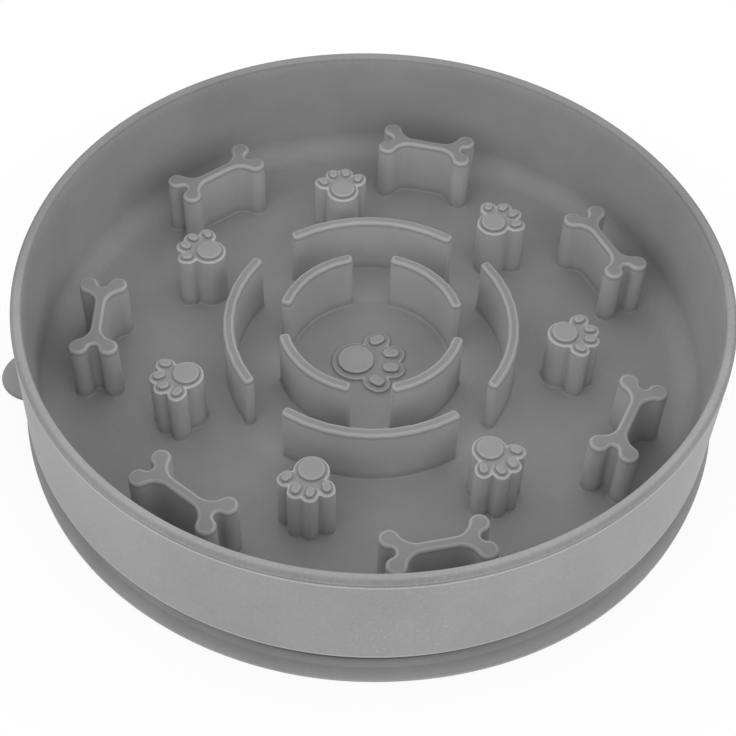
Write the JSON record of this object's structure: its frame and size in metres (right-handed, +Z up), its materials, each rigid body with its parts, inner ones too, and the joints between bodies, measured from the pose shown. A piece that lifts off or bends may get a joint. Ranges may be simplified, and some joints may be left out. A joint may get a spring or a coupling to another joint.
{
  "type": "slow feeder bowl",
  "caption": "Round grey silicone slow feeder bowl with bone and paw posts, two rings of curved walls and a suction base.",
  "frame": {"origin": "on the bowl's axis, in the plane of the seal ring that the bowl stands on", "axes": "+Z up along the bowl's axis, the release tab on the -X side, the camera on the -Y side"},
  "size_m": [0.212, 0.204, 0.045],
  "materials": {
    "bowl_silicone": "satin",
    "post_silicone": "satin",
    "base_silicone": "satin"
  },
  "bodies": {
    "bowl_body": {"bowl": "bowl_silicone", "suction_base": "base_silicone", "well_paw": "bowl_silicone", "outer_wall_1": "post_silicone", "outer_wall_2": "post_silicone", "outer_wall_3": "post_silicone", "outer_wall_4": "post_silicone", "inner_wall_1": "post_silicone", "inner_wall_2": "post_silicone", "inner_wall_3": "post_silicone", "inner_wall_4": "post_silicone", "bone_1": "post_silicone", "bone_2": "post_silicone", "bone_3": "post_silicone", "bone_4": "post_silicone", "bone_5": "post_silicone", "bone_6": "post_silicone", "bone_7": "post_silicone", "paw_1": "post_silicone", "paw_2": "post_silicone", "paw_3": "post_silicone", "paw_4": "post_silicone", "paw_5": "post_silicone", "paw_6": "post_silicone", "paw_7": "post_silicone"},
    "tab": {"release_tab": "base_silicone"}
  },
  "joints": [
    {"name": "tab_bend", "type": "hinge", "parent": "bowl_body", "child": "tab", "pos_m": [-0.09959, -0.00174, 0.00115], "axis": [-0.0175, 0.9998, 0], "range_deg": [0, 60], "stiffness_Nm_per_rad": 0.002}
  ]
}
